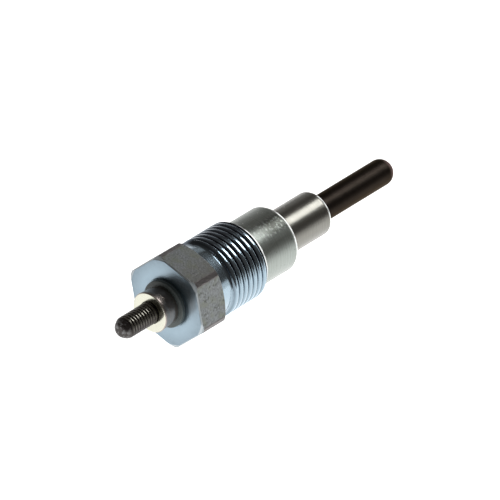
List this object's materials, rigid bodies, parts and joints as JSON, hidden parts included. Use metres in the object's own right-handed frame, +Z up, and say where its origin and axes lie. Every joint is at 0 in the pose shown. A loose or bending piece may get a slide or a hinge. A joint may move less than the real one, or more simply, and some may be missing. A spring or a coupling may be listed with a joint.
{
  "type": "diesel glow plug",
  "caption": "Screw-in glow plug for a diesel engine: hexagon shell with a body thread, sheathed heating element in front, insulated threaded terminal behind.",
  "frame": {"origin": "on the plug's axis, at the middle of the body thread", "axes": "+X along the axis towards the glowing tip, +Z up, with the plug lying on one flat of its hexagon"},
  "size_m": [0.0878, 0.0216, 0.019],
  "materials": {
    "zinc_steel": "satin",
    "heat_tube": "satin",
    "black_steel": "satin",
    "nickel": "polished",
    "insulator": "matte",
    "seal_rubber": "matte",
    "heater_seal_rubber": "matte",
    "regulating_wire": "satin",
    "heating_wire": "satin",
    "magnesia": "matte"
  },
  "bodies": {
    "root": {"plug_body": "zinc_steel", "glow_tube": "heat_tube", "terminal_stud": "black_steel", "round_nut": "nickel", "insulating_washer": "insulator", "outer_gasket": "seal_rubber", "inner_gasket": "seal_rubber", "heater_seal": "heater_seal_rubber", "regulating_coil": "regulating_wire", "heating_coil": "heating_wire", "filling_powder": "magnesia"}
  },
  "joints": []
}
